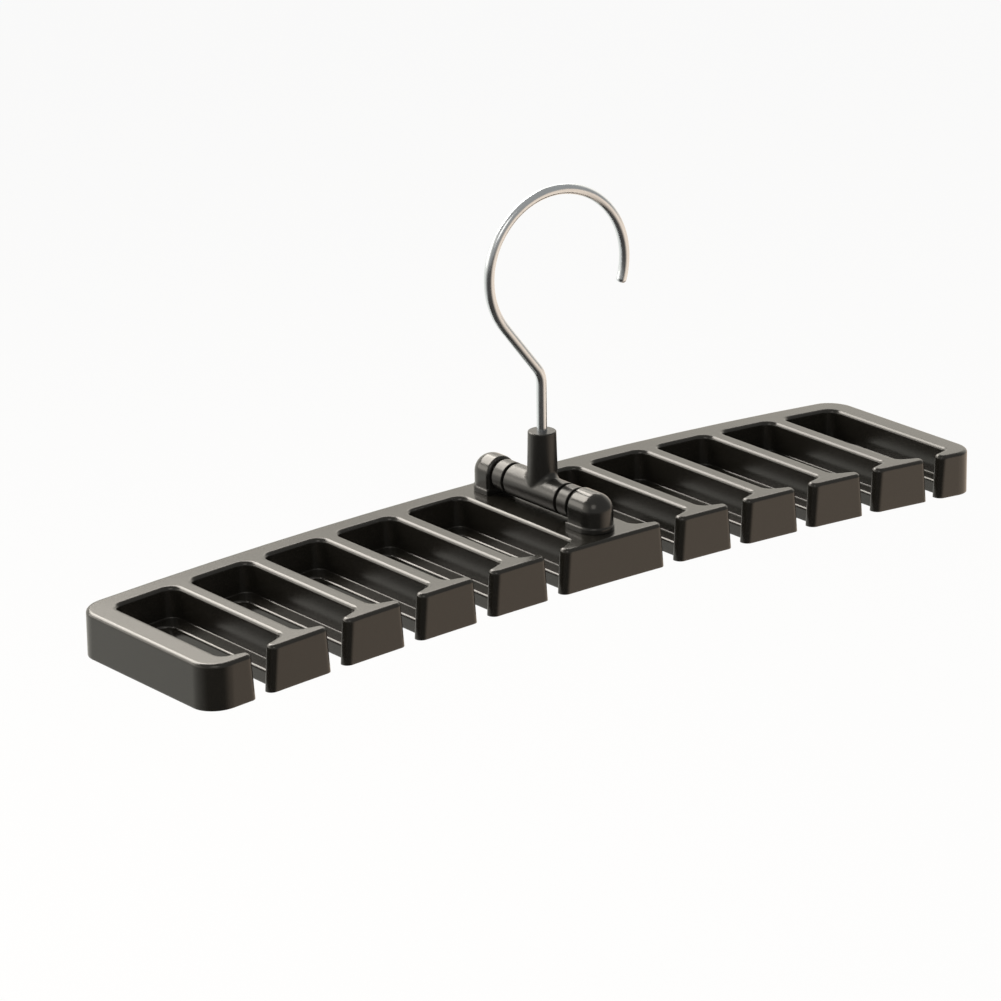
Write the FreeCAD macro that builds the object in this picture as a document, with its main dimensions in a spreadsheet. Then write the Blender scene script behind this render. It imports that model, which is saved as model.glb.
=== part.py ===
"""Tie hanger: an arched comb rack with a folding hinge bar and a swivelling wire hook.

Millimetres, +Z up. The origin is at the middle of the rack's outline, on the level of its lowest point.
+X runs along the rack, -Y is the open side of the slots and +Y the spine.
"""
import FreeCAD, Part
import math
import os

import Sketcher

SIZES = {
    # Comb rack in plan: five slots on each side of the centre block
    "slots_per_side": 5,
    "slot_width": 26.0,
    "finger_width": 6.5,
    "centre_width": 28.3,
    "end_wall": 9.85,
    "rack_depth": 81.5,
    "spine_width": 9.2,
    "slot_corner": 4.5,
    "outer_corner": 10.0,
    # Comb rack in height: the whole band is arched, its middle higher than its ends
    "rack_height": 16.8,
    "crown_drop": 6.5,
    "top_round": 1.4,
    # Ledge round the foot of each slot, as wide at each side as its share of the slot
    "ledge_height": 5.2,
    "ledge_share": 0.248,
    "ledge_back_reach": 5.0,
    "ledge_round": 0.8,
    # Lips that close the slots in front; the drafted mouth between two is a share of the slot at its foot
    "mouth_share": 0.193,
    "mouth_draft_angle": 5.0,
    "lip_tip": 3.9,
    "lip_slant_angle": 18.0,
    "lip_root_round": 4.0,
    "lip_front_round": 2.6,
    "lip_inner_round": 1.5,
    # Hinge bar across the centre block; a margin of the rack's depth stays free beyond each post
    "pivot_offset": 1.85,
    "bar_height": 7.1,
    "bar_radius": 6.1,
    "bar_edge": 0.3,
    "bar_margin": 3.95,
    "bush_share": 0.1184,
    "washer_radius": 4.6,
    "washer_thickness": 1.3,
    "washer_play": 0.05,
    "pin_radius": 2.0,
    "pin_chamfer": 0.4,
    "pin_reach": 3.6,
    "pin_end_room": 0.2,
    "running_fit": 0.04,
    # Posts, whose middle lies a little before the bar's own
    "post_offset": 0.5,
    "post_width": 13.5,
    "post_flat": 6.9,
    "post_round": 1.2,
    "foot_height": 2.0,
    "foot_margin": 0.35,
    # Screws that hold the posts from below
    "screw_radius": 1.6,
    "screw_length": 17.0,
    "screw_point": 2.0,
    "screw_head_radius": 3.2,
    "screw_head_height": 2.4,
    "screw_slot_width": 0.9,
    "screw_slot_length": 3.8,
    "screw_slot_depth": 1.3,
    "screw_clearance": 0.2,
    "screw_end_room": 0.6,
    "counterbore_depth": 8.0,
    "counterbore_clearance": 0.5,
    # Stem of the tee, a little before the bar's middle
    "stem_offset": -1.05,
    "stem_height": 22.9,
    "stem_foot_radius": 5.75,
    "stem_top_radius": 5.25,
    "stem_edge": 0.5,
    "stem_blend": 2.5,
    "chamber_radius": 3.4,
    "shoulder_height": 9.0,
    # Wire hook and what holds it in the stem
    "wire_radius": 1.9,
    "head_radius": 2.9,
    "head_height": 1.6,
    "hook_washer_radius": 3.2,
    "hook_washer_thickness": 0.8,
    "hook_play": 0.1,
    "bend_radius": 9.8,
    "neck_angle": 37.9,
    "crook_radius": 29.6,
    "crook_offset": 7.5,
    "crook_height": 83.1,
    "tip_angle": 20.0,
    "tip_round": 1.3,
    "hook_turn_angle": -4.8,
    # Every cut runs past the solid by this much
    "overrun": 2.0,
}

RIGHT_ANGLE = 90
HALF_TURN = 180
FULL_TURN = 360
# How far from its corner an upright edge may stand and still be that corner's, as a share of the lip's tip
PICK_SHARE = 0.3
# An edge counts as upright where at least this share of its run goes up
UPRIGHT_SHARE = 0.7
# Numbers that a sketch gives to the points of a line or arc, to its own axes and to its origin
START, END, CENTRE = range(1, 4)
LEVEL_LINE, UPRIGHT_LINE = range(-1, -3, -1)
ORIGIN = LEVEL_LINE
ALONG_Y = FreeCAD.Vector(0, 1, 0)
UPRIGHT = FreeCAD.Vector(0, 0, 1)


class Size:
    """A size with its value and with the expression that binds it to the sheet."""

    def __init__(self, value, text):
        self.value = value
        self.text = text

    def __add__(self, other):
        other = as_size(other)
        return Size(self.value + other.value, f"({self.text} + {other.text})")

    def __sub__(self, other):
        other = as_size(other)
        return Size(self.value - other.value, f"({self.text} - {other.text})")

    def __mul__(self, other):
        other = as_size(other)
        return Size(self.value * other.value, f"({self.text} * {other.text})")

    def __truediv__(self, other):
        other = as_size(other)
        return Size(self.value / other.value, f"({self.text} / {other.text})")

    def __neg__(self):
        return Size(-self.value, f"(-1 * {self.text})")


def as_size(item):
    if isinstance(item, Size):
        return item
    return Size(item, str(item))


def tangent(angle):
    """Tangent of a size in degrees."""
    return Size(math.tan(math.radians(angle.value)), f"tan({angle.text})")


doc = FreeCAD.newDocument("tie_hanger")
sheet = doc.addObject("Spreadsheet::Sheet", "Sizes")
for row, (alias, number) in enumerate(SIZES.items(), start=1):
    sheet.set(f"A{row}", alias)
    sheet.set(f"B{row}", str(number))
    sheet.setAlias(f"B{row}", alias)
doc.recompute()


def size(alias):
    return Size(float(sheet.get(alias)), f"Sizes.{alias}")


ZERO = as_size(0)

# Places that several pieces share
slots = size("slots_per_side")
pitch = size("slot_width") + size("finger_width")
half_length = size("centre_width") / 2 + pitch * slots - size("finger_width") + size("end_wall")
half_depth = size("rack_depth") / 2
first_slot = size("centre_width") / 2 + size("slot_width") / 2
arch_radius = (half_length * half_length + size("crown_drop") * size("crown_drop")) / (size("crown_drop") * 2)
arch_centre = size("crown_drop") - arch_radius
rack_top = size("crown_drop") + size("rack_height")
bar_axis = rack_top + size("bar_height")
bar_bore = size("pin_radius") + size("running_fit")
washer_gap = size("washer_thickness") + size("washer_play") * 2
post_half = size("post_width") / 2
foot_half = post_half + size("foot_margin")
post_centre = half_depth - size("bar_margin") - foot_half
post_shift = size("post_offset") - size("pivot_offset")
post_start = post_centre - size("post_flat")
bush_length = post_start * 2 * size("bush_share")
bush_end = post_start - washer_gap
bush_start = bush_end - bush_length
tee_end = bush_start - washer_gap
tee_length = tee_end * 2
pin_end = post_start + size("pin_reach")
screw_seat = size("crown_drop") + size("counterbore_depth")
wire_bore = size("wire_radius") + size("running_fit")
hook_washer_foot = size("shoulder_height") - size("hook_washer_thickness")
head_top = hook_washer_foot - size("hook_play")
head_foot = head_top - size("head_height")


def new_body(label):
    body = doc.addObject("PartDesign::Body", label)
    body.Label = label
    return body


def place(item, x=ZERO, y=ZERO, z=ZERO):
    """Put an object at x, y, z, bound to the sheet."""
    for axis, where in (("x", x), ("y", y), ("z", z)):
        item.setExpression(f"Placement.Base.{axis}", where.text)


def origin_feature(body, role):
    return next(item for item in body.Origin.OriginFeatures if item.Role == role)


def new_sketch(body, name, role, shift=None):
    """A sketch on one of the body's own planes; shift moves it, as axis letter and size."""
    sketch = body.newObject("Sketcher::SketchObject", name)
    sketch.AttachmentSupport = [(origin_feature(body, role), "")]
    sketch.MapMode = "FlatFace"
    if shift:
        axis, distance = shift
        sketch.setExpression(f"AttachmentOffset.Base.{axis}", distance.text)
    return sketch


def bind(sketch, kind, arguments, amount):
    """Add a dimension to a sketch and bind it to the sheet."""
    value = math.radians(amount.value) if kind == "Angle" else amount.value
    index = sketch.addConstraint(Sketcher.Constraint(kind, *arguments, value))
    sketch.setExpression(f"Constraints[{index}]", amount.text)


def tie(sketch, kind, *arguments):
    """Add a constraint that has no size."""
    sketch.addConstraint(Sketcher.Constraint(kind, *arguments))


def hold_point(sketch, curve, end, x, y):
    """Hold one point of a curve at x, y from the sketch's origin; None leaves that way free."""
    for kind, axis, where in (("DistanceX", UPRIGHT_LINE, x), ("DistanceY", LEVEL_LINE, y)):
        if where is None:
            continue
        if where is ZERO:
            tie(sketch, "PointOnObject", curve, end, axis)
        else:
            bind(sketch, kind, (ORIGIN, START, curve, end), where)


def round_corner(sketch, lines, points, radius):
    """Join two lines by a tangent arc; points are the corner before, the corner itself and the one after."""
    before, corner, after = points
    inwards = (before - corner).normalize()
    onwards = (after - corner).normalize()
    half_angle = inwards.getAngle(onwards) / 2
    reach = radius.value / math.tan(half_angle)
    centre = corner + (inwards + onwards).normalize() * (radius.value / math.sin(half_angle))
    middle = centre + (corner - centre).normalize() * radius.value
    arc = sketch.addGeometry(Part.Arc(corner + inwards * reach, middle, corner + onwards * reach))
    turns_left = onwards.cross(inwards).z > 0
    first, last = (START, END) if turns_left else (END, START)
    tie(sketch, "Tangent", lines[0], END, arc, first)
    tie(sketch, "Tangent", arc, last, lines[1], START)
    bind(sketch, "Radius", (arc,), radius)


def add_outline(sketch, corners):
    """A closed outline through corners (x, y) or, where the corner is rounded, (x, y, radius)."""
    count = len(corners)
    points = [FreeCAD.Vector(corner[0].value, corner[1].value, 0) for corner in corners]
    reaches = [corner[2] if len(corner) > 2 else None for corner in corners]
    lines = []
    for index in range(count):
        lines.append(sketch.addGeometry(Part.LineSegment(points[index - 1], points[index])))
    for index, corner in enumerate(corners):
        pair = (lines[index], lines[(index + 1) % count])
        if reaches[index] is None:
            tie(sketch, "Coincident", pair[0], END, pair[1], START)
            hold_point(sketch, pair[1], START, corner[0], corner[1])
            continue
        mark = sketch.addGeometry(Part.Point(points[index]), True)
        hold_point(sketch, mark, START, corner[0], corner[1])
        for line in pair:
            tie(sketch, "PointOnObject", mark, START, line)
        around = (points[index - 1], points[index], points[(index + 1) % count])
        round_corner(sketch, pair, around, reaches[index])


def add_circle(sketch, radius, x=ZERO, y=ZERO):
    centre = FreeCAD.Vector(x.value, y.value, 0)
    curve = sketch.addGeometry(Part.Circle(centre, UPRIGHT, radius.value))
    hold_point(sketch, curve, CENTRE, x, y)
    bind(sketch, "Radius", (curve,), radius)


def add_arch(sketch, half, spring, foot, whole=True):
    """An arch from the height that its arc springs from down to its foot, or its right half alone."""
    centre = FreeCAD.Vector(0, spring.value, 0)
    sweep = math.pi if whole else math.pi / 2
    arc = sketch.addGeometry(Part.ArcOfCircle(Part.Circle(centre, UPRIGHT, half.value), 0, sweep))
    left = -half.value if whole else 0
    corners = [(half.value, spring.value), (half.value, foot.value), (left, foot.value)]
    points = [FreeCAD.Vector(x, y, 0) for x, y in corners]
    points.append(centre + FreeCAD.Vector(math.cos(sweep), math.sin(sweep), 0) * half.value)
    lines = [sketch.addGeometry(Part.LineSegment(*pair)) for pair in zip(points, points[1:])]
    tie(sketch, "Tangent", arc, START, lines[0], START)
    tie(sketch, "Coincident", lines[0], END, lines[1], START)
    tie(sketch, "Coincident", lines[1], END, lines[2], START)
    tie(sketch, "Tangent" if whole else "Coincident", lines[2], END, arc, END)
    tie(sketch, "Vertical", lines[0])
    tie(sketch, "Vertical", lines[2])
    hold_point(sketch, arc, CENTRE, ZERO, spring)
    bind(sketch, "Radius", (arc,), half)
    hold_point(sketch, lines[1], START, None, foot)
    hold_point(sketch, lines[1], END, None if whole else ZERO, foot)


def finish_feature(feature):
    """Recompute and return a feature, stopping where it failed."""
    doc.recompute()
    if "Invalid" in feature.State or "Error" in feature.State or feature.Shape.isNull():
        raise RuntimeError(f"{feature.Name} failed: {feature.State}")
    return feature


def extrude(body, kind, name, sketch, length, side="One side", backwards=False):
    """Pad or pocket a sketch by a length."""
    feature = body.newObject(f"PartDesign::{kind}", name)
    feature.Profile = sketch
    feature.SideType = side
    feature.Reversed = backwards
    feature.setExpression("Length", length.text)
    return finish_feature(feature)


def pocket(body, name, sketch, length, side="One side", backwards=False):
    """Pocket a sketch, stopping where nothing was cut away."""
    before = body.Shape.Volume
    feature = extrude(body, "Pocket", name, sketch, length, side, backwards)
    if feature.Shape.Volume >= before:
        raise RuntimeError(f"{name} cuts nothing")
    return feature


def pattern(body, name, original, step):
    """Repeat a feature along the rack, once for each slot of a side."""
    feature = body.newObject("PartDesign::LinearPattern", name)
    feature.Originals = [original]
    feature.Direction = (origin_feature(body, "X_Axis"), [""])
    feature.setExpression("Occurrences", slots.text)
    feature.setExpression("Length", (step * (slots - 1)).text)
    body.Tip = feature
    return finish_feature(feature)


def mirror_body(body, name):
    """Add the mirror image of all that the body holds so far, across its YZ plane."""
    feature = body.newObject("PartDesign::Mirrored", name)
    feature.TransformMode = "Whole shape"
    feature.MirrorPlane = (origin_feature(body, "YZ_Plane"), [""])
    body.Tip = feature
    return finish_feature(feature)


def revolve(body, name, sketch, angle):
    """Revolve a sketch about its own upright axis, to both sides alike."""
    feature = body.newObject("PartDesign::Revolution", name)
    feature.Profile = sketch
    feature.ReferenceAxis = (sketch, ["V_Axis"])
    feature.Angle = angle
    feature.Midplane = True
    return finish_feature(feature)


def dress(body, kind, name, edges, amount):
    """Fillet or chamfer the named edges of the body's last feature."""
    feature = body.newObject(f"PartDesign::{kind}", name)
    feature.Base = (feature.BaseFeature, edges)
    feature.setExpression("Radius" if kind == "Fillet" else "Size", amount.text)
    return finish_feature(feature)


def edge_names(shape, wanted):
    """Names of the edges that wanted(edge) picks."""
    names = [f"Edge{number}" for number, edge in enumerate(shape.Edges, start=1) if wanted(edge)]
    if not names:
        raise RuntimeError("no edge was picked")
    return names


def edge_middle(edge):
    return edge.valueAt((edge.FirstParameter + edge.LastParameter) / 2)


def upright_at(places):
    """Picks upright straight edges that stand at one of the places."""
    reach = PICK_SHARE * size("lip_tip").value

    def wanted(edge):
        if edge.Curve.TypeId != "Part::GeomLine":
            return False
        if abs(edge.tangentAt(edge.FirstParameter).z) < UPRIGHT_SHARE:
            return False
        middle = edge_middle(edge)
        return any(math.hypot(middle.x - x, middle.y - y) < reach for x, y in places)

    return wanted


def round_about(axis, radius):
    """Picks circles of one radius about one axis."""
    slack = size("running_fit").value / 2

    def wanted(edge):
        curve = edge.Curve
        if curve.TypeId != "Part::GeomCircle" or abs(curve.Radius - radius.value) > slack:
            return False
        return curve.Axis.cross(axis).Length < slack

    return wanted


def add_band(body, name, low, high):
    """The right half of one layer of the arched band, between two heights above its underside."""
    sketch = new_sketch(body, f"{name}_outline", "XZ_Plane")
    centre = FreeCAD.Vector(0, arch_centre.value, 0)
    radii = (arch_radius + low, arch_radius + high)
    arcs = []
    ends = []
    for radius in radii:
        lean = math.asin(half_length.value / radius.value)
        circle = Part.Circle(centre, UPRIGHT, radius.value)
        arc = Part.ArcOfCircle(circle, math.pi / 2 - lean, math.pi / 2)
        arcs.append(sketch.addGeometry(arc))
        ends.append((arc.StartPoint, arc.EndPoint))
    for end, x, pair in zip((START, END), (half_length, ZERO), zip(*ends)):
        line = sketch.addGeometry(Part.LineSegment(*pair))
        tie(sketch, "Coincident", arcs[0], end, line, START)
        tie(sketch, "Coincident", line, END, arcs[1], end)
        tie(sketch, "Vertical", line)
        hold_point(sketch, line, START, x, None)
    hold_point(sketch, arcs[0], CENTRE, ZERO, arch_centre)
    tie(sketch, "Coincident", arcs[0], CENTRE, arcs[1], CENTRE)
    for arc, radius in zip(arcs, radii):
        bind(sketch, "Radius", (arc,), radius)
    return extrude(body, "Pad", name, sketch, size("rack_depth"), "Symmetric")


# Plan of one slot, from its middle line: the lip's slanted inner face runs to the narrowest mouth
slot_back = half_depth - size("spine_width")
lip_slope = tangent(size("lip_slant_angle"))
mouth_low = size("slot_width") * size("mouth_share") / 2
lip_tip_y = size("lip_tip") - half_depth


def lip_face(across):
    """Depth of the lip's inner face at a distance from the slot's middle line."""
    return lip_tip_y + (across - mouth_low) * lip_slope


def mirrored(right):
    """An outline from its right half, both ends of which stay on their own side."""
    return right + tuple((-corner[0],) + corner[1:] for corner in reversed(right))


def slot_outline(half_width, back, *root_round):
    """Plan of a slot or of the opening in its floor, its front along the lips' inner faces."""
    root = (half_width, lip_face(half_width)) + root_round
    return mirrored(((half_width, back, size("slot_corner")), root, (mouth_low, lip_tip_y)))


def mouth_half(height):
    """Half the mouth's width at a height above the ground."""
    return mouth_low + height * tangent(size("mouth_draft_angle"))


def mouth_outline():
    low = -size("overrun")
    high = rack_top + size("overrun")
    return mirrored(((mouth_half(low), low), (mouth_half(high), high)))


def cut_row(body, name, outline, role, length, shift=None):
    """Cut one outline at every slot of the right half."""
    sketch = new_sketch(body, f"{name}_outline", role, shift)
    add_outline(sketch, [(first_slot + corner[0],) + corner[1:] for corner in outline])
    cut = pocket(body, name, sketch, length, backwards=True)
    pattern(body, f"{name}_row", cut, pitch)


def slot_middles():
    """Where the middle lines of the right half's slots are along the rack."""
    return [first_slot.value + pitch.value * index for index in range(int(slots.value))]


def round_uprights(body, name, across, depth, amount):
    """Round the upright edges that stand at a distance across from each slot's middle line."""
    places = [(middle + way * across.value, depth.value) for middle in slot_middles() for way in (1, -1)]
    dress(body, "Fillet", name, edge_names(body.Shape, upright_at(places)), amount)


def rim_edges(shape, height, wanted):
    """Names of the edges round the arched faces at one height, where wanted(middle of the edge) holds."""
    radius = (arch_radius + height).value
    slack = size("running_fit").value
    floors = [face for face in shape.Faces if face.Surface.TypeId == "Part::GeomCylinder"
              and abs(face.Surface.Radius - radius) < slack]
    rim = [edge for face in floors for edge in face.Edges if wanted(edge_middle(edge))]
    return edge_names(shape, lambda edge: any(edge.isSame(other) for other in rim))


def off_mirror(middle):
    """True away from the plane between the rack's halves."""
    return middle.x > size("running_fit").value


def within_opening(half_width, back):
    """Picks places on the rim of the opening in a slot's floor."""
    slack = size("running_fit").value

    def wanted(middle):
        across = min(abs(middle.x - slot) for slot in slot_middles())
        inside = across < half_width.value + slack and middle.y < back.value + slack
        return inside and middle.y > lip_face(as_size(across)).value + slack

    return wanted


def screw_holes(body, name, radius, length):
    """Cut one round hole from below at each post's screw."""
    sketch = new_sketch(body, f"{name}_outline", "XY_Plane")
    for way in (1, -1):
        add_circle(sketch, radius, y=size("post_offset") + post_centre * way)
    pocket(body, name, sketch, length, backwards=True)


def make_rack():
    body = new_body("rack_frame")
    slot_half = size("slot_width") / 2
    opening_half = slot_half - size("slot_width") * size("ledge_share")
    opening_back = slot_back - size("ledge_back_reach")
    upwards = rack_top + size("overrun")
    add_band(body, "upper_band", size("ledge_height"), size("rack_height"))
    slot_plan = slot_outline(slot_half, slot_back, size("lip_root_round"))
    cut_row(body, "slot", slot_plan, "XY_Plane", upwards)
    add_band(body, "lower_band", ZERO, size("ledge_height"))
    cut_row(body, "opening", slot_outline(opening_half, opening_back), "XY_Plane", upwards)
    rims = rim_edges(body.Shape, size("ledge_height"), within_opening(opening_half, opening_back))
    dress(body, "Fillet", "ledge_edges", rims, size("ledge_round"))
    mouth_inside = lip_tip_y + size("overrun")
    outwards = size("lip_tip") + size("overrun") * 2
    cut_row(body, "mouth", mouth_outline(), "XZ_Plane", outwards, ("z", -mouth_inside))
    corners = [(half_length.value, way * half_depth.value) for way in (1, -1)]
    picked = edge_names(body.Shape, upright_at(corners))
    dress(body, "Fillet", "outer_corners", picked, size("outer_corner"))
    across = mouth_half(rack_top / 2)
    round_uprights(body, "lip_fronts", across, -half_depth, size("lip_front_round"))
    round_uprights(body, "lip_tips", across, lip_face(across), size("lip_inner_round"))
    rims = rim_edges(body.Shape, size("rack_height"), off_mirror)
    dress(body, "Fillet", "top_edges", rims, size("top_round"))
    mirror_body(body, "other_half")
    screw_holes(body, "counterbores", size("screw_head_radius") + size("counterbore_clearance"), screw_seat)
    screw_holes(body, "screw_holes", size("screw_radius") + size("screw_clearance"), upwards)
    return body


def at_pivot(item, height=bar_axis, along=ZERO):
    """Seat a piece of the hinge at the bar's middle, or along the bar from there."""
    place(item, y=size("pivot_offset") + along, z=height)


def make_post(label, turn, centre):
    """A post along +Y from the pivot, its nose's centre that far out, turned about the upright axis."""
    body = new_body(label)
    wall = new_sketch(body, "wall_outline", "XZ_Plane", ("z", -post_start))
    add_arch(wall, post_half, size("bar_height"), ZERO)
    extrude(body, "Pad", "wall", wall, centre - post_start, backwards=True)
    arches = round_about(ALONG_Y, post_half)
    inner = edge_names(body.Shape, lambda edge: arches(edge) and edge_middle(edge).y < centre.value)
    dress(body, "Fillet", "inner_edge", inner, size("post_round"))
    nose = new_sketch(body, "nose_outline", "YZ_Plane", ("x", centre))
    add_arch(nose, post_half, size("bar_height"), ZERO, whole=False)
    revolve(body, "nose", nose, HALF_TURN)
    foot = new_sketch(body, "foot_outline", "XY_Plane")
    add_arch(foot, foot_half, centre, post_start)
    extrude(body, "Pad", "foot", foot, size("foot_height"))
    bore = new_sketch(body, "pin_bore_outline", "XZ_Plane")
    add_circle(bore, bar_bore, y=size("bar_height"))
    pocket(body, "pin_bore", bore, pin_end + size("pin_end_room"))
    screw = new_sketch(body, "screw_bore_outline", "XY_Plane")
    add_circle(screw, size("screw_radius") + size("running_fit"), y=centre)
    reach = size("screw_length") + screw_seat - rack_top + size("screw_end_room")
    pocket(body, "screw_bore", screw, reach, backwards=True)
    body.Placement = FreeCAD.Placement(FreeCAD.Vector(), FreeCAD.Rotation(UPRIGHT, turn))
    at_pivot(body, rack_top)
    return body


def make_tee():
    body = new_body("swivel_tee")
    barrel = new_sketch(body, "barrel_outline", "XZ_Plane")
    add_circle(barrel, size("bar_radius"))
    extrude(body, "Pad", "barrel", barrel, tee_length, "Symmetric")
    rims = edge_names(body.Shape, round_about(ALONG_Y, size("bar_radius")))
    dress(body, "Fillet", "barrel_edges", rims, size("bar_edge"))
    stem = new_sketch(body, "stem_outline", "XZ_Plane", ("z", -size("stem_offset")))
    add_outline(stem, ((ZERO, ZERO), (size("stem_foot_radius"), ZERO),
                       (size("stem_top_radius"), size("stem_height")), (ZERO, size("stem_height"))))
    revolve(body, "stem", stem, FULL_TURN)
    brim = edge_names(body.Shape, round_about(UPRIGHT, size("stem_top_radius")))
    dress(body, "Fillet", "stem_brim", brim, size("stem_edge"))
    dress(body, "Fillet", "stem_blend", stem_foot_edges(body.Shape), size("stem_blend"))
    bore = new_sketch(body, "pin_bore_outline", "XZ_Plane")
    add_circle(bore, bar_bore)
    pocket(body, "pin_bore", bore, tee_length + size("overrun"), "Symmetric")
    chamber = new_sketch(body, "chamber_outline", "XY_Plane", ("z", -size("bar_radius")))
    add_circle(chamber, size("chamber_radius"), y=size("stem_offset"))
    pocket(body, "chamber", chamber, size("bar_radius") + size("shoulder_height"), backwards=True)
    wire = new_sketch(body, "wire_bore_outline", "XY_Plane")
    add_circle(wire, wire_bore, y=size("stem_offset"))
    pocket(body, "wire_bore", wire, size("stem_height") + size("overrun"), backwards=True)
    at_pivot(body)
    return body


def stem_foot_edges(shape):
    """Names of the curves where the stem meets the barrel."""
    lowest = size("bar_radius").value
    reach = size("stem_foot_radius").value
    shift = size("stem_offset").value
    slack = size("running_fit").value

    def wanted(edge):
        points = [vertex.Point for vertex in edge.Vertexes] + [edge_middle(edge)]
        close = all(math.hypot(point.x, point.y - shift) < reach + slack for point in points)
        return close and all(slack < point.z < lowest + slack for point in points)

    return edge_names(shape, wanted)


def make_ring(label, role, radius, bore, length, shift, along=ZERO):
    """A plain ring about one of the axes, seated along the bar from its middle."""
    body = new_body(label)
    sketch = new_sketch(body, "ring_outline", role, ("z", shift))
    add_circle(sketch, radius)
    add_circle(sketch, bore)
    extrude(body, "Pad", "ring", sketch, length)
    at_pivot(body, along=along)
    return body


def make_bush(label, shift):
    body = make_ring(label, "XZ_Plane", size("bar_radius"), bar_bore, bush_length, shift)
    rims = edge_names(body.Shape, round_about(ALONG_Y, size("bar_radius")))
    dress(body, "Fillet", "ring_edges", rims, size("bar_edge"))
    return body


def make_pin():
    body = new_body("hinge_pin")
    sketch = new_sketch(body, "pin_outline", "XZ_Plane")
    add_circle(sketch, size("pin_radius"))
    extrude(body, "Pad", "pin", sketch, pin_end * 2, "Symmetric")
    ends = edge_names(body.Shape, round_about(ALONG_Y, size("pin_radius")))
    dress(body, "Chamfer", "pin_ends", ends, size("pin_chamfer"))
    at_pivot(body)
    return body


def make_hook():
    """Bent wire in its own plane, turned about the stem to where the hook stands."""
    body = new_body("hook_wire")
    bend = size("bend_radius").value
    neck = math.radians(size("neck_angle").value)
    crook = size("crook_radius").value
    centre = FreeCAD.Vector(size("crook_offset").value, size("crook_height").value, 0)
    outwards = FreeCAD.Vector(-math.cos(neck), -math.sin(neck), 0)
    along = FreeCAD.Vector(-math.sin(neck), math.cos(neck), 0)
    neck_top = centre + outwards * crook
    corner = neck_top + along * (neck_top.x / math.sin(neck))
    neck_foot = corner + along * (bend * math.tan(neck / 2))
    shank_top = FreeCAD.Vector(0, corner.y - bend * math.tan(neck / 2), 0)
    shank_foot = FreeCAD.Vector(0, head_foot.value, 0)
    bend_centre = FreeCAD.Vector(-bend, shank_top.y, 0)
    tip = math.radians(size("tip_angle").value)
    path = new_sketch(body, "wire_path", "XZ_Plane")
    shank = path.addGeometry(Part.LineSegment(shank_foot, shank_top))
    elbow = path.addGeometry(Part.ArcOfCircle(Part.Circle(bend_centre, UPRIGHT, bend), 0, neck))
    slope = path.addGeometry(Part.LineSegment(neck_foot, neck_top))
    bow = path.addGeometry(Part.ArcOfCircle(Part.Circle(centre, UPRIGHT, crook), -tip, math.pi + neck))
    hold_point(path, shank, START, ZERO, head_foot)
    tie(path, "Vertical", shank)
    tie(path, "Tangent", shank, END, elbow, START)
    tie(path, "Tangent", elbow, END, slope, START)
    tie(path, "Tangent", slope, END, bow, END)
    bind(path, "Radius", (elbow,), size("bend_radius"))
    bind(path, "Angle", (slope,), size("neck_angle") + RIGHT_ANGLE)
    bind(path, "Radius", (bow,), size("crook_radius"))
    hold_point(path, bow, CENTRE, size("crook_offset"), size("crook_height"))
    bind(path, "Angle", (bow,), size("neck_angle") + size("tip_angle") + HALF_TURN)
    section = new_sketch(body, "wire_section", "XY_Plane", ("z", head_foot))
    add_circle(section, size("wire_radius"))
    wire = body.newObject("PartDesign::AdditivePipe", "wire")
    wire.Profile = section
    wire.Spine = (path, ["Edge1", "Edge2", "Edge3", "Edge4"])
    finish_feature(wire)
    end = centre + FreeCAD.Vector(math.cos(tip), -math.sin(tip), 0) * crook

    def at_tip(edge):
        middle = edge.CenterOfMass
        return math.hypot(middle.x - end.x, middle.z - end.y) < size("running_fit").value

    dress(body, "Fillet", "tip", edge_names(body.Shape, at_tip), size("tip_round"))
    head = new_sketch(body, "head_outline", "XY_Plane", ("z", head_foot))
    add_circle(head, size("head_radius"))
    extrude(body, "Pad", "head", head, size("head_height"))
    turn = size("hook_turn_angle")
    body.Placement = FreeCAD.Placement(FreeCAD.Vector(), FreeCAD.Rotation(UPRIGHT, turn.value))
    body.setExpression("Placement.Rotation.Angle", turn.text)
    at_pivot(body, along=size("stem_offset"))
    return body


def cylinder(name, radius, height):
    item = doc.addObject("Part::Cylinder", name)
    item.setExpression("Radius", radius.text)
    item.setExpression("Height", height.text)
    return item


def boolean(kind, name, base, tool):
    item = doc.addObject(f"Part::{kind}", name)
    item.Base = base
    item.Tool = tool
    return item


def group(label, items):
    """One node that holds several separate solids."""
    item = doc.addObject("Part::Compound", label)
    item.Label = label
    item.Links = items
    return item


def make_washers():
    """Thin washers in the four grooves of the hinge bar."""
    along_y = FreeCAD.Rotation(FreeCAD.Vector(1, 0, 0), -RIGHT_ANGLE)
    items = []
    starts = (tee_end + size("washer_play"), bush_end + size("washer_play"))
    for number, start in enumerate(starts + tuple(-start - size("washer_thickness") for start in starts)):
        disc = cylinder(f"washer_disc_{number}", size("washer_radius"), size("washer_thickness"))
        hole = cylinder(f"washer_hole_{number}", bar_bore, size("washer_thickness"))
        washer = boolean("Cut", f"washer_{number}", disc, hole)
        washer.Placement = FreeCAD.Placement(FreeCAD.Vector(), along_y)
        place(washer, y=size("pivot_offset") + start, z=bar_axis)
        items.append(washer)
    return group("friction_washers", items)


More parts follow.
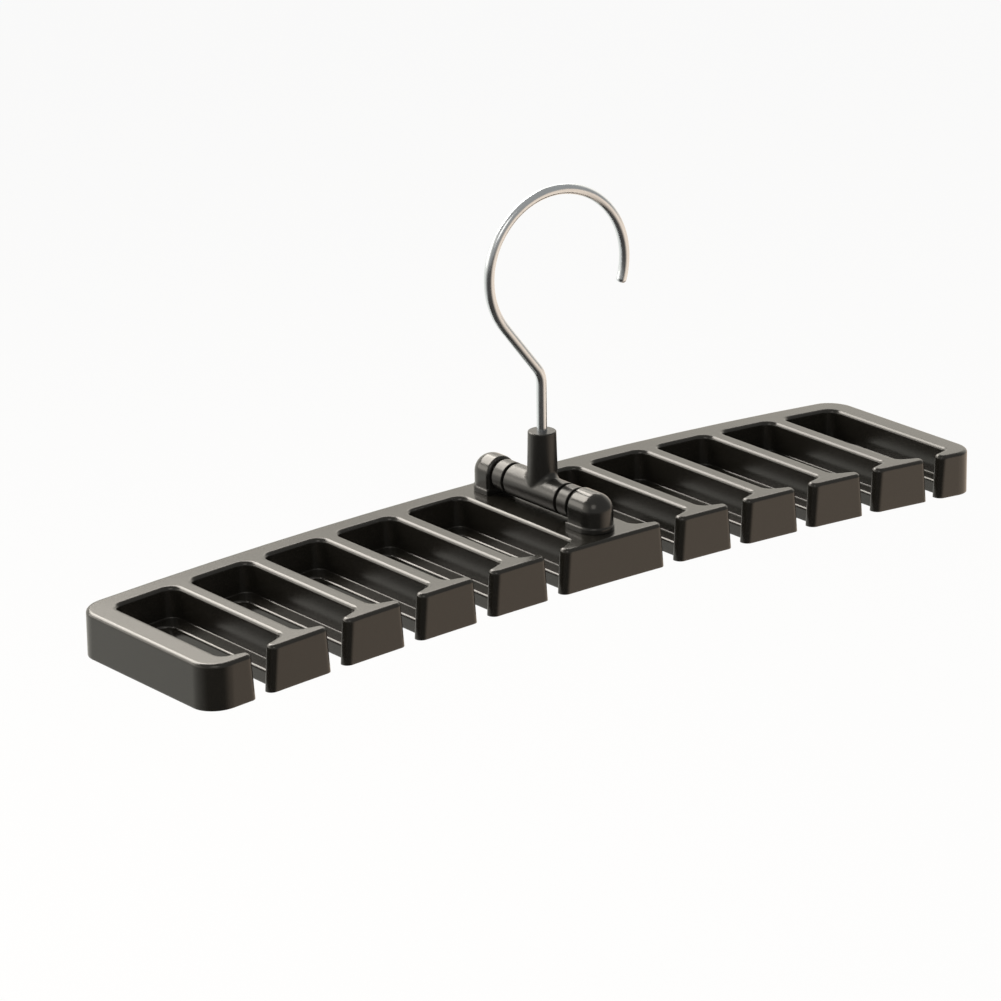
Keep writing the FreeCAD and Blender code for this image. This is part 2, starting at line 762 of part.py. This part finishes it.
def make_screws():
    """Two screws with their heads in the rack's counterbores and their shanks in the posts."""
    items = []
    for number, way in enumerate((1, -1)):
        shank_length = size("screw_length") - size("screw_point")
        shank = cylinder(f"screw_shank_{number}", size("screw_radius"), shank_length)
        point = doc.addObject("Part::Cone", f"screw_point_{number}")
        point.setExpression("Radius1", size("screw_radius").text)
        point.setExpression("Radius2", (size("screw_radius") / 2).text)
        point.setExpression("Height", size("screw_point").text)
        place(point, z=shank_length)
        head = cylinder(f"screw_head_{number}", size("screw_head_radius"), size("screw_head_height"))
        place(head, z=-size("screw_head_height"))
        screw = boolean("Fuse", f"screw_shank_with_point_{number}", shank, point)
        screw = boolean("Fuse", f"screw_blank_{number}", screw, head)
        for arm, (length, width) in enumerate((("Length", "Width"), ("Width", "Length"))):
            slot = doc.addObject("Part::Box", f"screw_slot_{number}_{arm}")
            slot.setExpression(length, size("screw_slot_length").text)
            slot.setExpression(width, size("screw_slot_width").text)
            slot.setExpression("Height", size("screw_slot_depth").text)
            shifts = (size("screw_slot_length") / -2, size("screw_slot_width") / -2)
            x, y = shifts if arm == 0 else reversed(shifts)
            place(slot, x=x, y=y, z=-size("screw_head_height"))
            screw = boolean("Cut", f"screw_cross_{number}_{arm}", screw, slot)
        place(screw, y=size("post_offset") + post_centre * way, z=screw_seat)
        items.append(screw)
    return group("post_screws", items)


pieces = [
    make_rack(),
    make_post("rear_post", 0, post_centre + post_shift),
    make_post("front_post", HALF_TURN, post_centre - post_shift),
    make_tee(),
    make_bush("rear_bush", -bush_end),
    make_bush("front_bush", bush_start),
    make_pin(),
    make_washers(),
    make_screws(),
    make_hook(),
    make_ring("hook_washer", "XY_Plane", size("hook_washer_radius"), wire_bore, size("hook_washer_thickness"),
              hook_washer_foot, size("stem_offset")),
]
doc.recompute()
for item in doc.Objects:
    if "Invalid" in item.State or "Error" in item.State:
        raise RuntimeError(f"{item.Label} failed: {item.State}")
for piece in pieces:
    if piece.Shape.isNull() or not piece.Shape.isValid():
        raise RuntimeError(f"{piece.Label} has no valid shape")
os.makedirs("parts", exist_ok=True)
for piece in pieces:
    piece.Shape.exportStep(f"parts/{piece.Label}.step")
    print(f"{piece.Label}: {len(piece.Shape.Solids)} solid(s), {piece.Shape.Volume:.1f} cubic millimetres")
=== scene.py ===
"""Tie hanger: finishes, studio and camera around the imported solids."""
import math

import bmesh
import bpy
from mathutils import Matrix, Vector

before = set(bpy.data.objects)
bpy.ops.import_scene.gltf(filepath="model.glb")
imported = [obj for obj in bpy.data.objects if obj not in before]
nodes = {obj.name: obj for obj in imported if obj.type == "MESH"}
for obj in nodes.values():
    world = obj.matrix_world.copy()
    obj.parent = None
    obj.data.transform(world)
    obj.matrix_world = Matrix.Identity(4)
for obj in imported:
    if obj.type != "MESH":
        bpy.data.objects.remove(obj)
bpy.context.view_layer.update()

WHITE = (1.0, 1.0, 1.0)

# Camera: where the lens stands, the point it looks at, its roll and its focal length on a 36 mm sensor
EYE = Vector((-1.1090, -1.3788, 0.6411))
AIM = Vector((-0.0120, 0.0106, 0.0264))
ROLL = math.radians(-0.837)
FOCAL_LENGTH = 183.9
SENSOR_WIDTH = 36.0
NEAREST, FARTHEST = 0.05, 60.0

# Floor: the rack hangs this far above it; the eye sees it white, with a small share left for the shadow
FLOOR_DROP = 0.55
FLOOR_HALF = 20.0
FLOOR_PAINT = (0.86, 0.85, 0.83)
FLOOR_GLOW_SHARE = 0.92

# Floor as the plastic and the wire mirror it, a painted reflection: it glows only in mirrored rays, painted dark
# on the camera's side and painted bright beyond these bearings
PAINTED_REFLECTION_RIGHT = (1.04, 0.85, 0.68)
PAINTED_REFLECTION_LEFT = (0.92, 0.90, 0.82)
PAINTED_REFLECTION_DARK = (0.06, 0.055, 0.05)
RIGHT_BEARINGS = (math.radians(28.0), math.radians(70.0))
LEFT_BEARINGS = (math.radians(-36.0), math.radians(-106.0))

# Room as they mirror it: a bright band behind the object up to a height, dim elsewhere, and a fill for the rest
WORLD_BAND = (1.16, 1.10, 0.98)
WORLD_DIM = (0.34, 0.33, 0.31)
WORLD_FILL = (0.42, 0.41, 0.39)
BAND_HEIGHTS = (0.42, 0.68)
BAND_DEPTHS = (-0.25, 0.35)

# Softboxes, all turned to the rack: place, width, height and radiance
LAMP_TINT = (1.0, 0.94, 0.85)
LAMP_AIM = Vector((0.0, 0.0, 0.03))
SOFTBOXES = {
    "high_back_softbox": ((-0.10, 1.30, 1.17), 1.5, 0.7, 8.0),
    "right_back_softbox": ((1.04, 1.40, 1.12), 1.3, 0.5, 2.2),
    "low_left_softbox": ((-0.96, 1.18, 0.43), 0.9, 0.5, 2.2),
    "front_softbox": ((-1.4, -1.2, 1.5), 1.0, 1.0, 1.5),
}

# Moulded skin: its flow mottle, its grain, the stretched noise of its handling marks, and their reliefs
FLOW_SCALE, FLOW_DETAIL, FLOW_ROUGHNESS = 35.0, 3.0, 0.55
GRAIN_SCALE, GRAIN_DETAIL, GRAIN_ROUGHNESS = 900.0, 2.0, 0.6
MARK_TURN = (0.3, 0.2, 0.6)
MARK_STRETCH = (40.0, 1500.0, 900.0)
MARK_LEVELS = (0.68, 0.8)
FINE_RELIEF = 0.4
MARK_RELIEF = 0.1
SKIN_DEPTH = 0.00005
MIDDLE = 0.5

# Metal: its faint clouds, its drawing lines and their relief
CLOUD_SCALE = 120.0
CLOUD_LEVELS = (0.3, 0.7)
CLOUD_TONES = (0.94, 1.0)
DRAWN_LEVELS = (0.6, 1.4)
DRAWN_RELIEF, DRAWN_DEPTH = 0.12, 0.00003

# Black glossy plastic bends light this much; its moulded edges shade as if rounded by this radius
PLASTIC_IOR = 1.57
SOFT_EDGE = 0.0009
EDGE_SAMPLES = 12

# Plastics: tint, mottle, gloss, its spread, size of the fine grain, relief and softened edge
PLASTICS = {
    "rack_black": ((0.016, 0.0148, 0.0122), 0.12, 0.20, 0.05, 2400.0, 0.10, SOFT_EDGE),
    "post_black": ((0.017, 0.0165, 0.015), 0.14, 0.19, 0.06, 2400.0, 0.10, SOFT_EDGE),
    "hinge_black": ((0.018, 0.0175, 0.016), 0.20, 0.33, 0.16, 3000.0, 0.22, 0.0),
    "washer_black": ((0.010, 0.010, 0.010), 0.15, 0.5, 0.06, 3500.0, 0.2, 0.0),
}

# Metals: tint, gloss, its spread and the stretch of the drawing lines
METALS = {
    "hook_chrome": ((0.80, 0.85, 0.91), 0.25, 0.05, (900.0, 900.0, 30.0)),
    "pin_steel": ((0.62, 0.61, 0.59), 0.25, 0.06, (900.0, 40.0, 900.0)),
    "screw_steel": ((0.58, 0.57, 0.55), 0.28, 0.06, (900.0, 900.0, 60.0)),
}

# Which finish each node wears
FINISHES = {
    "rack_frame": "rack_black",
    "rear_post": "post_black",
    "front_post": "post_black",
    "swivel_tee": "hinge_black",
    "rear_bush": "hinge_black",
    "front_bush": "hinge_black",
    "friction_washers": "washer_black",
    "hinge_pin": "pin_steel",
    "post_screws": "screw_steel",
    "hook_wire": "hook_chrome",
    "hook_washer": "screw_steel",
}


def new_tree(owner):
    """Empty node tree of a material or world."""
    owner.use_nodes = True
    owner.node_tree.nodes.clear()
    return owner.node_tree


def add_node(tree, kind, **settings):
    """A shader node with its properties set."""
    node = tree.nodes.new(f"ShaderNode{kind}")
    for name, value in settings.items():
        setattr(node, name, value)
    return node


def set_inputs(node, **values):
    """Set sockets by name; an underscore stands for a space."""
    for name, value in values.items():
        node.inputs[name.replace("_", " ")].default_value = value
    return node


def math_node(tree, operation, first, second):
    """A maths node; each side is a number or a socket."""
    node = add_node(tree, "Math", operation=operation)
    for index, side in enumerate((first, second)):
        if isinstance(side, (int, float)):
            node.inputs[index].default_value = side
        else:
            tree.links.new(side, node.inputs[index])
    return node.outputs[0]


def noise(tree, vector, scale, detail=2.0, roughness=0.5):
    """Noise value on a vector socket."""
    node = set_inputs(add_node(tree, "TexNoise"), Scale=scale, Detail=detail, Roughness=roughness)
    tree.links.new(vector, node.inputs["Vector"])
    return node.outputs["Fac"]


def map_range(tree, value, levels, results):
    """Turn a value's range into another, clamped."""
    node = add_node(tree, "MapRange")
    for index, number in enumerate((*levels, *results), start=1):
        node.inputs[index].default_value = number
    tree.links.new(value, node.inputs["Value"])
    return node.outputs["Result"]


def stretched(tree, where, **values):
    """Coordinates turned and scaled by a Mapping node."""
    mapping = set_inputs(add_node(tree, "Mapping"), **values)
    tree.links.new(where, mapping.inputs["Vector"])
    return mapping.outputs["Vector"]


def scaled_colour(tree, level):
    """A colour times a level; returns the colour's socket to fill and the product."""
    node = add_node(tree, "VectorMath", operation="SCALE")
    tree.links.new(level, node.inputs["Scale"])
    return node.inputs[0], node.outputs[0]


def new_group(name, inputs, outputs):
    """A shader node group with named sockets; returns its tree and its input and output nodes."""
    tree = bpy.data.node_groups.new(name, "ShaderNodeTree")
    for socket, kind, value in inputs:
        made = tree.interface.new_socket(socket, in_out="INPUT", socket_type=kind)
        made.default_value = value
    for socket, kind in outputs:
        tree.interface.new_socket(socket, in_out="OUTPUT", socket_type=kind)
    entry = tree.nodes.new("NodeGroupInput")
    leave = tree.nodes.new("NodeGroupOutput")
    return tree, entry, leave


def make_moulded_skin():
    """Group for moulded plastic: faint flow mottle, fine grain and a few handling marks."""
    number = "NodeSocketFloat"
    tree, entry, leave = new_group(
        "moulded_skin",
        (("Tint", "NodeSocketColor", (0.02, 0.02, 0.02, 1.0)), ("Mottle", number, 0.15),
         ("Gloss", number, 0.2), ("Gloss Spread", number, 0.05), ("Grain Scale", number, 2500.0)),
        (("Color", "NodeSocketColor"), ("Roughness", number), ("Height", number)))
    given = entry.outputs
    where = add_node(tree, "TexCoord").outputs["Object"]
    flow = noise(tree, where, FLOW_SCALE, FLOW_DETAIL, FLOW_ROUGHNESS)
    grain = noise(tree, where, GRAIN_SCALE, GRAIN_DETAIL, GRAIN_ROUGHNESS)
    fine = set_inputs(add_node(tree, "TexNoise"), Detail=1.0, Roughness=0.5)
    tree.links.new(where, fine.inputs["Vector"])
    tree.links.new(given["Grain Scale"], fine.inputs["Scale"])
    streaks = noise(tree, stretched(tree, where, Rotation=MARK_TURN, Scale=MARK_STRETCH), 1.0, 1.0)
    marks = map_range(tree, streaks, MARK_LEVELS, (0.0, 1.0))
    flow_swing = math_node(tree, "SUBTRACT", flow, MIDDLE)
    grain_swing = math_node(tree, "SUBTRACT", grain, MIDDLE)

    level = math_node(tree, "MULTIPLY", flow_swing, given["Mottle"])
    level = math_node(tree, "ADD", math_node(tree, "MULTIPLY", level, 2.0), 1.0)
    tint, colour = scaled_colour(tree, level)
    tree.links.new(given["Tint"], tint)
    tree.links.new(colour, leave.inputs["Color"])

    spread = math_node(tree, "ADD", grain_swing, flow_swing)
    spread = math_node(tree, "MULTIPLY", math_node(tree, "ADD", spread, marks), given["Gloss Spread"])
    tree.links.new(math_node(tree, "ADD", given["Gloss"], spread), leave.inputs["Roughness"])

    relief = math_node(tree, "ADD", math_node(tree, "MULTIPLY", fine.outputs["Fac"], FINE_RELIEF), flow)
    relief = math_node(tree, "SUBTRACT", relief, math_node(tree, "MULTIPLY", marks, MARK_RELIEF))
    tree.links.new(relief, leave.inputs["Height"])
    return tree


def principled(name):
    """A material with a Principled BSDF; returns the material, its tree and the shader."""
    material = bpy.data.materials.new(name)
    tree = new_tree(material)
    shader = set_inputs(add_node(tree, "BsdfPrincipled"), IOR=PLASTIC_IOR)
    output = add_node(tree, "OutputMaterial")
    tree.links.new(shader.outputs["BSDF"], output.inputs["Surface"])
    return material, tree, shader


def bump(tree, shader, height, strength, distance, edge=0.0):
    """Let a height move the shader's normal, on edges softened by a radius."""
    node = set_inputs(add_node(tree, "Bump"), Strength=strength, Distance=distance)
    if edge:
        soft = set_inputs(add_node(tree, "Bevel", samples=EDGE_SAMPLES), Radius=edge)
        tree.links.new(soft.outputs["Normal"], node.inputs["Normal"])
    tree.links.new(height, node.inputs["Height"])
    tree.links.new(node.outputs["Normal"], shader.inputs["Normal"])


def moulded(name, skin, tint, mottle, gloss, spread, grain, relief, edge):
    """Moulded plastic of one tint and gloss."""
    material, tree, shader = principled(name)
    group = add_node(tree, "Group", node_tree=skin)
    set_inputs(group, Tint=(*tint, 1.0), Mottle=mottle, Gloss=gloss, Gloss_Spread=spread, Grain_Scale=grain)
    for socket, target in (("Color", "Base Color"), ("Roughness", "Roughness")):
        tree.links.new(group.outputs[socket], shader.inputs[target])
    bump(tree, shader, group.outputs["Height"], relief, SKIN_DEPTH, edge)
    return material


def metal(name, tint, gloss, spread, lines):
    """Polished or turned metal, with fine drawing lines along the lines' own scale."""
    material, tree, shader = principled(name)
    where = add_node(tree, "TexCoord").outputs["Object"]
    drawn = noise(tree, stretched(tree, where, Scale=lines), 1.0)
    cloud = noise(tree, where, CLOUD_SCALE)
    base, colour = scaled_colour(tree, map_range(tree, cloud, CLOUD_LEVELS, CLOUD_TONES))
    base.default_value = tint
    tree.links.new(colour, shader.inputs["Base Color"])
    both = math_node(tree, "ADD", drawn, cloud)
    rough = map_range(tree, both, DRAWN_LEVELS, (gloss - spread, gloss + spread))
    tree.links.new(rough, shader.inputs["Roughness"])
    shader.inputs["Metallic"].default_value = 1.0
    bump(tree, shader, drawn, DRAWN_RELIEF, DRAWN_DEPTH)
    return material


def dress_nodes():
    """Make every finish and put it on the nodes that wear it."""
    skin = make_moulded_skin()
    made = {name: moulded(name, skin, *values) for name, values in PLASTICS.items()}
    made.update({name: metal(name, *values) for name, values in METALS.items()})
    for name, finish in FINISHES.items():
        for slot in nodes[name].material_slots:
            slot.material = made[finish]


def aimed(place, aim):
    """Matrix of a camera or lamp at a place, looking at a point."""
    place = Vector(place)
    return Matrix.Translation(place) @ (aim - place).to_track_quat("-Z", "Y").to_matrix().to_4x4()


def add_camera():
    """Camera at the photograph's viewing angle."""
    data = bpy.data.cameras.new("camera")
    data.sensor_width = SENSOR_WIDTH
    data.lens = FOCAL_LENGTH
    data.clip_start = NEAREST
    data.clip_end = FARTHEST
    camera = bpy.data.objects.new("camera", data)
    camera.matrix_world = aimed(EYE, AIM) @ Matrix.Rotation(ROLL, 4, "Z")
    bpy.context.scene.collection.objects.link(camera)
    bpy.context.scene.camera = camera


def mix_colours(tree, factor, first, second):
    """Blend of two colours by a socket; each colour is a triple or a socket."""
    node = add_node(tree, "Mix", data_type="RGBA")
    tree.links.new(factor, node.inputs["Factor"])
    for socket, colour in zip((node.inputs[6], node.inputs[7]), (first, second)):
        if isinstance(colour, tuple):
            socket.default_value = (*colour, 1.0)
        else:
            tree.links.new(colour, socket)
    return node.outputs[2]


def mix_shaders(tree, factor, first, second):
    """Blend of two shaders by a socket."""
    node = add_node(tree, "MixShader")
    tree.links.new(factor, node.inputs["Fac"])
    tree.links.new(first, node.inputs[1])
    tree.links.new(second, node.inputs[2])
    return node.outputs["Shader"]


def ray_kinds(tree):
    """Sockets that are one for camera rays and one for mirrored or transmitted rays."""
    path = add_node(tree, "LightPath")
    mirrored = math_node(tree, "MAXIMUM", path.outputs["Is Glossy Ray"], path.outputs["Is Transmission Ray"])
    return path.outputs["Is Camera Ray"], mirrored


def plan_distance(tree, split, way):
    """How far a point lies along a direction in plan."""
    x = math_node(tree, "MULTIPLY", split.outputs["X"], way.x)
    return math_node(tree, "ADD", x, math_node(tree, "MULTIPLY", split.outputs["Y"], way.y))


def painted_reflection_floor(tree):
    """Painted reflection: the colour the floor glows with in mirrored rays, dark towards the camera and bright
    beyond, by the bearing from the rack, nought towards the camera.
    """
    split = add_node(tree, "SeparateXYZ")
    tree.links.new(add_node(tree, "TexCoord").outputs["Object"], split.inputs[0])
    away = (AIM - EYE).to_2d().normalized()
    towards = plan_distance(tree, split, -away)
    sideways = plan_distance(tree, split, Vector((away.y, -away.x)))
    bearing = math_node(tree, "ARCTAN2", sideways, towards)
    right = map_range(tree, bearing, RIGHT_BEARINGS, (0.0, 1.0))
    left = map_range(tree, bearing, LEFT_BEARINGS, (0.0, 1.0))
    colour = mix_colours(tree, right, PAINTED_REFLECTION_DARK, PAINTED_REFLECTION_RIGHT)
    return mix_colours(tree, left, colour, PAINTED_REFLECTION_LEFT)


def floor_finish():
    """White to the eye with a soft shadow; in mirrored rays it glows as a painted reflection, dark on the camera's
    side; clear from below.
    """
    material = bpy.data.materials.new("floor_pale")
    tree = new_tree(material)
    eye, mirrored = ray_kinds(tree)
    glow = add_node(tree, "Emission")
    # In mirrored rays the floor glows with the painted reflection, dark on the camera's side and bright beyond
    tree.links.new(mix_colours(tree, mirrored, WHITE, painted_reflection_floor(tree)), glow.inputs["Color"])
    paint = set_inputs(add_node(tree, "BsdfDiffuse"), Color=(*FLOOR_PAINT, 1.0))
    share = math_node(tree, "MAXIMUM", math_node(tree, "MULTIPLY", eye, FLOOR_GLOW_SHARE), mirrored)
    above = mix_shaders(tree, share, paint.outputs["BSDF"], glow.outputs["Emission"])
    below = add_node(tree, "NewGeometry").outputs["Backfacing"]
    surface = mix_shaders(tree, below, above, add_node(tree, "BsdfTransparent").outputs["BSDF"])
    tree.links.new(surface, add_node(tree, "OutputMaterial").inputs["Surface"])
    return material


def add_floor():
    """Pale floor below the hanging rack."""
    mesh = bpy.data.meshes.new("floor")
    form = bmesh.new()
    bmesh.ops.create_grid(form, x_segments=1, y_segments=1, size=FLOOR_HALF,
                          matrix=Matrix.Translation((0.0, 0.0, -FLOOR_DROP)))
    form.to_mesh(mesh)
    form.free()
    mesh.materials.append(floor_finish())
    floor = bpy.data.objects.new("floor", mesh)
    bpy.context.scene.collection.objects.link(floor)


def add_world():
    """White to the eye; mirrored it is a bright band low down behind the object, and dim overhead and in front."""
    world = bpy.data.worlds.new("studio")
    bpy.context.scene.world = world
    tree = new_tree(world)
    split = add_node(tree, "SeparateXYZ")
    tree.links.new(add_node(tree, "TexCoord").outputs["Generated"], split.inputs[0])
    low = map_range(tree, split.outputs["Z"], BAND_HEIGHTS, (1.0, 0.0))
    behind = map_range(tree, split.outputs["Y"], BAND_DEPTHS, (0.0, 1.0))
    band = mix_colours(tree, math_node(tree, "MULTIPLY", low, behind), WORLD_DIM, WORLD_BAND)
    eye, mirrored = ray_kinds(tree)
    colour = mix_colours(tree, eye, mix_colours(tree, mirrored, WORLD_FILL, band), WHITE)
    background = add_node(tree, "Background")
    tree.links.new(colour, background.inputs["Color"])
    tree.links.new(background.outputs["Background"], add_node(tree, "OutputWorld").inputs["Surface"])


def add_softbox(name, place, width, height, radiance):
    """Rectangular softbox of an even radiance."""
    data = bpy.data.lights.new(name, "AREA")
    data.shape = "RECTANGLE"
    data.size = width
    data.size_y = height
    data.energy = radiance * math.pi * width * height
    data.color = LAMP_TINT
    lamp = bpy.data.objects.new(name, data)
    lamp.matrix_world = aimed(place, LAMP_AIM)
    lamp.visible_camera = False
    bpy.context.scene.collection.objects.link(lamp)


dress_nodes()
add_camera()
add_floor()
add_world()
for name, values in SOFTBOXES.items():
    add_softbox(name, *values)
bpy.context.scene.view_settings.view_transform = "Standard"
